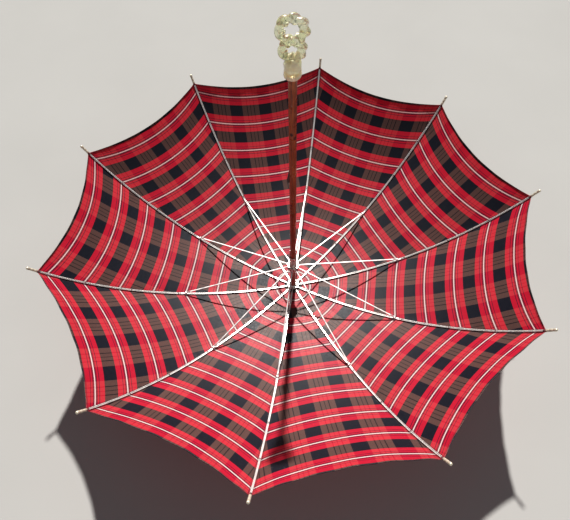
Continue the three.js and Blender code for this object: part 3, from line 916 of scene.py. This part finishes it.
def frame_pieces():
    rib = rib_mesh()
    slope = slope_at(FLEX)
    centre, reach = in_rib_plane(*rib_point(FLEX)), Vector((math.cos(slope), 0, math.sin(slope))) * BEND_ZONE
    riders = [  # name, mesh, material, body, slot, and the node it replaces
        ("joint_", joint_mesh(), "steel", "rib_", "bright_steel", None),
        ("rivet_", rivet_mesh(), "nickel", "rib_", "nickel", None),
        ("strut_", stretcher_mesh(), "steel", "stretcher_", "bright_steel", "stretcher_"),
        ("tip_", tip_mesh(), "brass", "rib_end_", "tarnished_brass", "rib_tip_"),
        ("ties_", ties_mesh(TIES_INNER), "thread", "rib_", "black_cloth", None),
        ("ties_end_", ties_mesh(TIES_OUTER), "thread", "rib_end_", "black_cloth", None),
        ("tip_thread_", tip_thread_mesh(), "thread", "rib_end_", "black_cloth", None),
    ]
    for i in range(RIBS):
        number, spin = label(i), turned(i).to_3x3()
        bent = copy_turned(rib, f"rib_{number}", "steel", i)
        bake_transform(bent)
        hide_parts(f"rib_inner_{number}", f"rib_outer_{number}")
        for name, parts, material, body, slot, node in riders:
            obj = copy_turned(parts, name + number, material, i)
            finish_piece(obj, body + number, slot, [node + number] if node else ())


frame_pieces()


# ---- crown, runner, cap, ferrule ----
SLOT_W = 2.4
TOOTH_INNER, TOOTH_OUTER, TOOTH_SOFT = 8.4, 13.0, 0.5
HUB_OUTER = 8.7
WIRE_THICK = 0.62
CROWN_BORE, CROWN_HALF = 6.2, 5.0
RUNNER_BORE, RUNNER_HALF = 6.8, 5.5


def tooth(i, low, high, steps=10):
    """The solid between slot i and the next, with softened edges."""
    a0, a1 = azimuth(i + 1), azimuth(i)
    section = [(TOOTH_INNER, low), (TOOTH_OUTER - TOOTH_SOFT, low), (TOOTH_OUTER, low + TOOTH_SOFT)]
    section += [(TOOTH_OUTER, high - TOOTH_SOFT), (TOOTH_OUTER - TOOTH_SOFT, high), (TOOTH_INNER, high)]
    points = []
    for k in range(steps + 1):
        for r, z in section:
            trim = math.asin(min(0.9, SLOT_W / 2 / r))
            points.append(around(a0 + trim + (a1 - a0 - 2 * trim) * k / steps, r, z))
    return points, ring_faces(steps + 1, len(section))


def notched_ring(z, bore, half):
    parts = Parts()
    for i in range(RIBS):
        parts.add_mm(*tooth(i, z - half, z + half))
    hub = [(bore, z - half), (HUB_OUTER, z - half), (HUB_OUTER, z + half), (bore, z + half), (bore, z - half)]
    return parts.add_mm(*lathe(hub, 60))


def wire_ring(name, z, body):
    path = [Vector((x, y, z)) for x, y in circle(PIVOT_R, 72)]
    wire = Parts().add_mm(*sweep(path, circle(WIRE_THICK, 10), Vector((0, 0, 1)), closed_path=True))
    finish_piece(wire.make(name, MAT["steel"]), body, "bright_steel")


def crown():
    ring = notched_ring(CROWN_Z, CROWN_BORE, CROWN_HALF)
    collar = [(6.2, 5), (9.4, 5), (9.8, 5.5), (9.6, 6.3), (8.2, 7.2), (6.6, 7.6), (6.2, 7.6), (6.2, 5)]
    ring.add_mm(*lathe(raised(collar, CROWN_Z), 60))
    finish_piece(sharpen(ring.make("crown", MAT["nickel"])), "root", "nickel", ["crown_ring"])
    wire_ring("crown_wire", CROWN_Z, "root")


def runner():
    ring = notched_ring(RUNNER_Z, RUNNER_BORE, RUNNER_HALF)
    tube = [
        (6.8, -16), (7.5, -16.2), (8.3, -15.6), (8.5, -14.6), (8.2, -13.6), (7.9, -12.8), (7.9, -8.0), (8.3, -6.4),
        (8.6, -5.5), (8.6, 5.5), (8.3, 6.4), (7.75, 7.6), (7.6, 10), (7.6, 28.5), (7.85, 29.2), (7.85, 30.2),
        (7.6, 30.9), (7.6, 33.8), (7.9, 34.6), (8.0, 35.6), (7.7, 36.7), (7.2, 37), (6.8, 36.8), (6.8, -16),
    ]
    ring.add_mm(*lathe(raised(tube, RUNNER_Z), 72))
    finish_piece(sharpen(ring.make("slider", MAT["nickel"])), "runner", "nickel", ["runner"])
    wire_ring("runner_wire", RUNNER_Z, "runner")


def nickel_part(name, outline, node):
    """A turned part of the shaft. Its outline is (radius, height above the ferrule's tip)."""
    points, faces = lathe(outline, 72)
    obj = sharpen(new_object(name, mm(points), faces, MAT["nickel"]), 32)
    finish_piece(obj, "root", "nickel", [node])


crown()
runner()
nickel_part("cup", [
    (6.0, 52.6), (9.2, 52.6), (9.7, 53.0), (11.0, 54.4), (13.6, 56.4), (15.6, 58.8), (16.7, 61.4), (17.3, 63.2),
    (17.75, 63.7), (17.8, 64.3), (17.4, 64.7), (16.6, 64.4), (16.1, 63.2), (15.0, 60.6), (14.2, 59.6),
    (6.0, 59.6), (6.0, 52.6),
], "canopy_cap")
nickel_part("ferrule_tube", [
    (0, 0), (2.6, 0), (3.4, 0.25), (4.0, 0.9), (4.25, 1.8), (4.25, 8.4), (4.4, 9.2), (4.8, 10.2), (4.95, 11.2),
    (5.05, 16), (5.3, 17.0), (5.3, 18.2), (5.1, 19.2), (5.25, 28), (5.6, 39.5), (6.1, 40.6), (6.6, 41.9),
    (6.75, 43.4), (6.6, 45.0), (6.1, 46.4), (5.95, 47.2), (5.95, 49.7), (3.7, 49.7), (3.7, 26), (0, 26),
], "ferrule")

WASHER_RINGS = (6.2, 10, 14, 18, 21.5, 24)
WASHER_Z, WASHER_THICK = 65.3, 0.9
WASHER_COCKLE = 0.35
PINK_OUT, PINK_IN = 0.8, -0.5  # the teeth of its pinked rim


def rosette():
    """A pinked cloth washer, slightly cockled."""
    points, faces = [], []
    sides, n = 120, len(WASHER_RINGS)
    bore, rim_r = WASHER_RINGS[0], WASHER_RINGS[-1]
    for base in (WASHER_Z, WASHER_Z + WASHER_THICK):
        for r in WASHER_RINGS:
            for k in range(sides):
                a = 2 * math.pi * k / sides
                rim = (PINK_OUT if k % 4 < 2 else PINK_IN) if r == rim_r else 0.0
                points.append(around(a, r + rim, base + WASHER_COCKLE * math.sin(5 * a) * (r / rim_r) ** 2))
    for layer in (0, 1):
        for j in range(n - 1):
            start = (layer * n + j) * sides
            for k in range(sides):
                p, q = start + k, start + (k + 1) % sides
                quad = (p, p + sides, q + sides, q)
                faces.append(quad if layer else tuple(reversed(quad)))
    for j in (0, n - 1):
        for k in range(sides):
            p, q = j * sides + k, j * sides + (k + 1) % sides
            quad = (p, q, q + n * sides, p + n * sides)
            faces.append(quad if j else tuple(reversed(quad)))
    obj = new_object("cloth_washer", mm(points), faces, MAT["black_cloth"])
    finish_piece(obj, "root", "black_cloth", ["inner_rosette"])


rosette()


# ---- shaft, with its knots and the slots of the catches ----
CATCH_AZ = math.radians(189)
CATCHES = {  # height of the lower end, length, and how far the lever reaches from the axis
    "top_catch": (CROWN_Z + 119.5, 23.0, 9.6),
    "bottom_catch": (CROWN_Z + 359.0, 32.0, 10.6),
}
SLOT_FROM, SLOT_TO, SLOT_HALF, SLOT_ROOM = -2.6, 20.0, 1.1, 0.6  # a slot's span, half width, and end play
STICK_START, STICK_END = CROWN_Z - 22, SHAFT_TOP + 7             # its end sits in the foot of the knob
STICK_STEP = 1.5
STICK_R, SKIN_R = 6.4, 5.2  # its usual radius; its surface lies outside SKIN_R
TAPER = [
    (STICK_START, 5.9), (CROWN_Z + 40, 5.9), (CROWN_Z + 180, 6.2), (CROWN_Z + 505, 6.4),
    (SHAFT_TOP - 50, 6.8), (STICK_END, 6.8),
]
KNOTS = [  # height above the crown, azimuth in degrees, size, strength
    (514, 205, 3.6, 1.0), (512, 345, 3.4, 1.0), (481, 256, 3.2, 1.0), (473, 316, 3.4, 1.0), (455, 352, 3.6, 1.0),
    (300, 240, 2.6, 0.6), (205, 80, 3.0, 0.8), (395, 120, 3.0, 0.8), (545, 60, 3.2, 0.8),
]
KNOT_SWELL, UNEVEN = 0.15, 0.008


def on_catch_side(r, y, z):
    """A point r from the axis towards the catches, y to the side."""
    c, s = math.cos(CATCH_AZ), math.sin(CATCH_AZ)
    return Vector((r * c - y * s, r * s + y * c, z)) * MM


def cut_slot(obj, low, length):
    ends = (low - SLOT_ROOM, low + length + SLOT_ROOM)
    sides = (-SLOT_HALF, SLOT_HALF)
    points = [on_catch_side(r, y, z) for r in (SLOT_FROM, SLOT_TO) for y in sides for z in ends]
    faces = [(0, 1, 3, 2), (4, 6, 7, 5), (0, 4, 5, 1), (2, 3, 7, 6), (0, 2, 6, 4), (1, 5, 7, 3)]
    cutter = new_object("slot_cutter", points, faces, MAT["wood"], smooth=False)
    bm = bmesh.new()
    bm.from_mesh(cutter.data)
    bmesh.ops.recalc_face_normals(bm, faces=bm.faces)
    bm.to_mesh(cutter.data)
    bm.free()
    mod = obj.modifiers.new("slot", "BOOLEAN")
    mod.operation, mod.object, mod.solver = "DIFFERENCE", cutter, "EXACT"
    return cutter


def shaft():
    steps = int((STICK_END - STICK_START) / STICK_STEP)
    heights = [STICK_START + k * STICK_STEP for k in range(steps)] + [STICK_END]
    radii = np.interp(heights, *zip(*TAPER))
    radii[0] -= 0.4
    outline = [(0, STICK_START)] + [(float(r), z) for r, z in zip(radii, heights)] + [(0, STICK_END)]
    points, faces = lathe(outline, 64)
    obj = new_object("stick", mm(points), faces, MAT["wood"])
    cutters = [cut_slot(obj, low, length) for low, length, _ in CATCHES.values()]
    apply_modifiers(obj, MAT["wood"])
    for cutter in cutters:
        bpy.data.objects.remove(cutter)
    co = read_points(obj)
    knot = np.zeros(len(co))
    on_skin = np.hypot(co[:, 0], co[:, 1]) > SKIN_R
    for height, degrees, size, strength in KNOTS:
        a = math.radians(degrees)
        middle = (STICK_R * math.cos(a), STICK_R * math.sin(a), CROWN_Z + height)
        d = np.linalg.norm((co - middle) * (1, 1, 0.8), axis=1) / size
        knot = np.maximum(knot, strength * np.exp(-(d ** 2) * 1.6))
        swell = KNOT_SWELL * strength * np.exp(-(d ** 2) * 0.7)
        co[on_skin, :2] *= (1 + swell[on_skin] / STICK_R)[:, None]
    # a hand-finished stick isn't perfectly round
    for k, (x, y, z) in enumerate(co):
        if on_skin[k]:
            co[k, :2] *= 1 + UNEVEN * noise.noise(Vector((x * 0.08, y * 0.08, z * 0.02)))
    obj.data.vertices.foreach_set("co", (co * MM).ravel())
    set_attributes(obj, knot=knot, height=co[:, 2] - CROWN_Z)
    finish_piece(sharpen(obj, 40), "root", "lacquered_wood", ["shaft"])


shaft()

LEVER_HALF, LEVER_ROOT = 0.65, 2.8  # half its thickness, and how near to the axis it starts
LEVER_EDGE = 0.25


def catch(name, material, slot):
    """A sprung lever of bent flat wire: steep on the crown side, sloping into the shaft towards the handle."""
    low, length, reach = CATCHES[name]
    outline = [
        (LEVER_ROOT, low + 0.3), (reach - 2.2, low + 0.2), (reach - 0.9, low + 0.7), (reach - 0.1, low + 2.0),
        (reach, low + 3.6), (reach - 0.2, low + length * 0.3), (reach - 1.4, low + length * 0.5),
        (7.6, low + length * 0.78), (6.5, low + length), (LEVER_ROOT, low + length),
    ]
    points = [on_catch_side(r, y, z) for y in (-LEVER_HALF, LEVER_HALF) for r, z in outline]
    n = len(outline)
    faces = [tuple(reversed(range(n))), tuple(range(n, 2 * n))]
    faces += [(k, (k + 1) % n, (k + 1) % n + n, k + n) for k in range(n)]
    obj = new_object(name + "_lever", points, faces, MAT[material])
    bevel = obj.modifiers.new("edges", "BEVEL")
    bevel.width, bevel.segments, bevel.limit_method = LEVER_EDGE * MM, 2, "ANGLE"
    bevel.angle_limit = math.radians(25)
    finish_piece(sharpen(obj, 40), name, slot, [name])


catch("top_catch", "steel", "bright_steel")
catch("bottom_catch", "black_steel", "black_steel")


# ---- handle: a knob with two loops of twisted rope, cast in one ----
HANDLE_TURN = math.radians(9)
HANDLE_BASE = SHAFT_TOP + 0.4
LOOPS = [
    dict(height=CROWN_Z + 638, half_w=14.0, half_h=13.0, rope=7.4, turns=3.0, phase=0.6),
    dict(height=CROWN_Z + 669, half_w=17.0, half_h=16.5, rope=7.9, turns=3.5, phase=0.0),
]
HANDLE_VOXEL = 0.55
KNOB = [(0, 5), (8.2, 5), (10.6, 5.6), (12.5, 7.4), (13.3, 10), (13.3, 13), (12.9, 17)]
KNOB += [(12.8, z) for z in range(19, 33, 2)] + [(11.4, 36), (8.5, 39.5), (0, 41)]
DIMPLES, DIMPLE_DEPTH = 7, 0.035  # in a ring, and as a share of the radius


def rope_loop(height, half_w, half_h, rope, turns, phase, steps=180, sides=36):
    """An oval ring of two thick strands wound round each other."""
    points = []
    strand, apart = 0.66 * rope, 0.37 * rope
    for k in range(steps):
        a = 2 * math.pi * k / steps
        c = Vector((half_w * math.sin(a), 0, height + half_h * math.cos(a)))
        out = Vector((math.sin(a) / half_w, 0, math.cos(a) / half_h)).normalized()
        for j in range(sides):
            b = 2 * math.pi * j / sides
            turn = b - turns * a + phase
            r = apart * abs(math.cos(turn)) + math.sqrt(strand ** 2 - (apart * math.sin(turn)) ** 2)
            points.append(c + out * (r * math.cos(b)) + Vector((0, 1, 0)) * (r * math.sin(b)))
    return points, ring_faces(steps, sides, closed_path=True)


def dimpled(x, y, z):
    """The knob is dimpled above its plain foot."""
    up = z - HANDLE_BASE
    depth = DIMPLE_DEPTH * min(1, max(0, (up - 12) / 6))
    w = 1 + depth * math.cos(DIMPLES * math.atan2(y, x) + 0.35 * up) * math.cos(0.7 * (up - 19))
    return x * w, y * w, z


def handle():
    parts = Parts()
    for spec in LOOPS:
        parts.add_mm(*rope_loop(**spec))
    points, faces = lathe(raised(KNOB, HANDLE_BASE), 72)
    parts.add_mm([dimpled(*p) for p in points], faces)
    obj = parts.make("handle_cast", MAT["acrylic"])
    obj.data.transform(Matrix.Rotation(HANDLE_TURN, 4, "Z"))
    cast = obj.modifiers.new("one_casting", "REMESH")
    cast.mode, cast.voxel_size, cast.adaptivity = "VOXEL", HANDLE_VOXEL * MM, 0.0
    smooth = obj.modifiers.new("flow", "SMOOTH")
    smooth.factor, smooth.iterations = 0.5, 4
    apply_modifiers(obj, MAT["acrylic"])
    # the knob is cloudier than the loops, and a band of it is painted amber for the stick's wood seen through it
    # and as a painted reflection of the red canopy
    up = read_points(obj)[:, 2] - HANDLE_BASE
    set_attributes(obj, amber=np.exp(-((up - 17) / 4.0) ** 2) * 0.8, core=np.clip((42 - up) / 10.0, 0, 1))
    finish_piece(obj, "root", "clear_acrylic", ["handle"])


handle()


# ---- floor and light ----
FLOOR_HALF, FLOOR_Z = 15, -0.0005
KEY_AZIMUTH, KEY_ELEVATION = math.radians(94.5), math.radians(51)
KEY_STRENGTH, KEY_SPREAD, KEY_COLOUR = 5.8, math.radians(1.8), (1.0, 0.965, 0.91)
FILL_PLACE, FILL_TARGET = Vector((0.9, -1.4, 1.9)), Vector((0, 0, 0.15))
FILL_STRENGTH, FILL_SIZE, FILL_COLOUR = 4, 1.6, (1, 0.98, 0.96)
SKY_STRENGTH, SKY_COLOUR = 0.17, (0.93, 0.95, 1.0, 1)


def floor():
    m = Nodes("floor")
    base = m.mix(m.noise(m.position(), 3, 3), (0.31, 0.31, 0.305), (0.345, 0.345, 0.34))
    shader = m.principled(Base_Color=base)
    shader.inputs["Roughness"].default_value = 0.9
    corners = [(x * FLOOR_HALF, y * FLOOR_HALF, FLOOR_Z) for x, y in ((-1, -1), (1, -1), (1, 1), (-1, 1))]
    new_object("floor", corners, [(0, 1, 2, 3)], m.done(shader.outputs[0]), smooth=False)


def add_lamp(data, towards, place=(0, 0, 0)):
    lamp = bpy.data.objects.new(data.name, data)
    bpy.context.scene.collection.objects.link(lamp)
    lamp.location = place
    lamp.rotation_mode = "QUATERNION"
    lamp.rotation_quaternion = towards.to_track_quat("Z", "Y")


def lights():
    world = bpy.data.worlds.new("studio")
    bpy.context.scene.world = world
    world.use_nodes = True
    background = world.node_tree.nodes["Background"]
    background.inputs[0].default_value = SKY_COLOUR
    background.inputs[1].default_value = SKY_STRENGTH
    key = bpy.data.lights.new("key", "SUN")
    key.energy, key.angle, key.color = KEY_STRENGTH, KEY_SPREAD, KEY_COLOUR
    add_lamp(key, around(KEY_AZIMUTH, math.cos(KEY_ELEVATION), math.sin(KEY_ELEVATION)))
    fill = bpy.data.lights.new("fill", "AREA")
    fill.energy, fill.size, fill.color = FILL_STRENGTH, FILL_SIZE, FILL_COLOUR
    add_lamp(fill, FILL_PLACE - FILL_TARGET, FILL_PLACE)
    view = bpy.context.scene.view_settings
    view.view_transform = "Standard"
    view.look = "Medium High Contrast"
    view.exposure = 0.0


floor()
lights()
